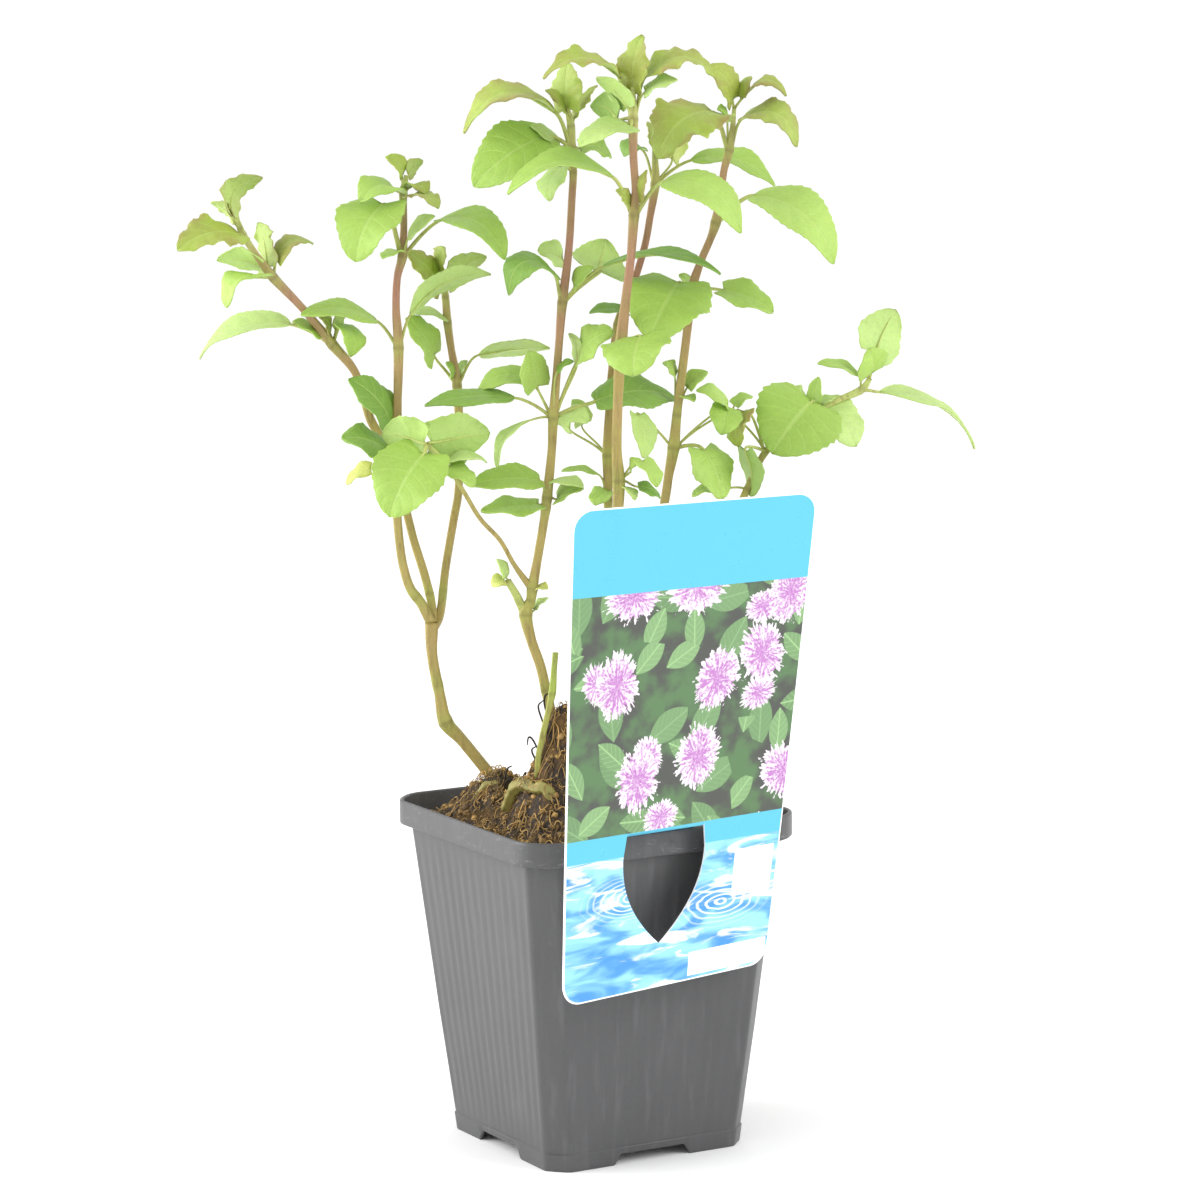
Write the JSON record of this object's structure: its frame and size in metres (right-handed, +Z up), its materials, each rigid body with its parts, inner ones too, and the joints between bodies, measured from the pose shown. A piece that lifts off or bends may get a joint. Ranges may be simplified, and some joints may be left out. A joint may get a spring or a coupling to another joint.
{
  "type": "potted mint plant",
  "caption": "Square plastic nursery pot of peat with tall square-stemmed mint shoots in wavy-edged leaves, and a thin printed plant label whose folded tongue hooks over the rim.",
  "frame": {"origin": "on the ground under the middle of the pot, which is also the middle of the plant's spread to within a few millimetres", "axes": "+Z up along the stems; the label hangs on the -Y side of the pot; +X to the right seen from the label"},
  "size_m": [0.2278, 0.1177, 0.3212],
  "materials": {
    "pot_plastic": "satin dark grey moulded plastic with fine upright flutes and scuffs on the rim",
    "peat": "damp dark brown peat with golden brown fibres",
    "label_card": "thin printed plastic card, satin, white edge",
    "mint_leaf": "soft green leaf, veined and finely haired, paler below",
    "mint_stem": "tan to purple square stem with fine hairs"
  },
  "bodies": {
    "root": {"pot": "pot_plastic", "soil": "peat", "label": "label_card", "shoot_left": "mint_leaf", "shoot_centre": "mint_leaf", "shoot_front": "mint_leaf", "shoot_back": "mint_leaf", "shoot_right": "mint_leaf", "shoot_side": "mint_leaf", "cut_stem": "mint_stem", "runner_near": "mint_stem", "runner_far": "mint_stem"}
  },
  "joints": []
}
